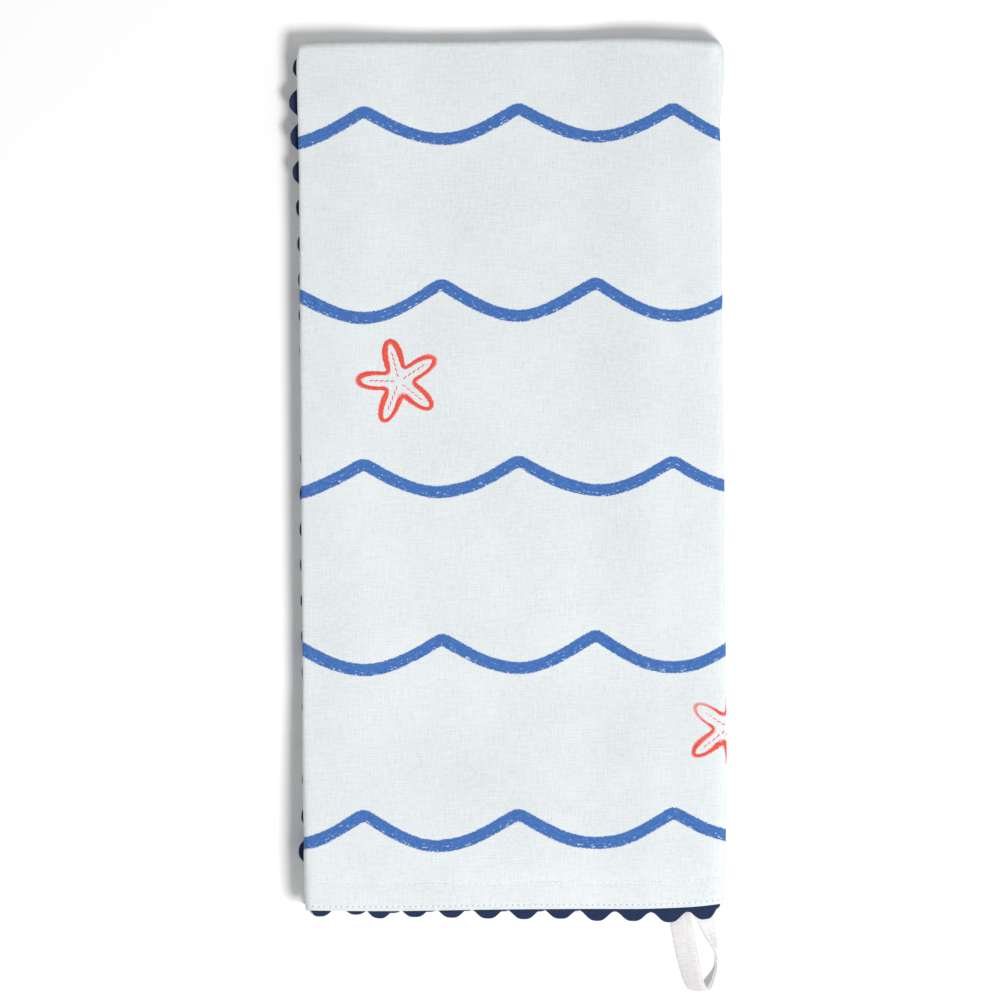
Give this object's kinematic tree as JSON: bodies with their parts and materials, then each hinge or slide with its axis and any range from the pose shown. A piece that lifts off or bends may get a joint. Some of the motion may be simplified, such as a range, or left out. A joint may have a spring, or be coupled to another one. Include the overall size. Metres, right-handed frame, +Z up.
{
  "type": "tea towel",
  "caption": "White tea towel with wavy stripes, narrow hems, navy ric-rac edging and a tape hanging loop, folded in thirds and in half and lying flat.",
  "frame": {"origin": "a point on the flat underside that rests on the surface, under the middle of the folded cloth", "axes": "+Z up out of the surface, +Y along the towel to the fold at its top, hem and loop towards -Y, +X to the right seen from above"},
  "size_m": [0.1791, 0.3911, 0.0188],
  "materials": {
    "cloth": "matt plain weave, printed with blue wavy stripes",
    "braid": "matt navy braid",
    "tape": "matt warm white cotton tape"
  },
  "bodies": {
    "root": {"towel_cloth": "cloth", "ricrac_front_end": "braid", "ricrac_rear_end": "braid", "ricrac_inner_side": "braid", "ricrac_outer_side": "braid", "hanging_loop": "tape"}
  },
  "joints": []
}
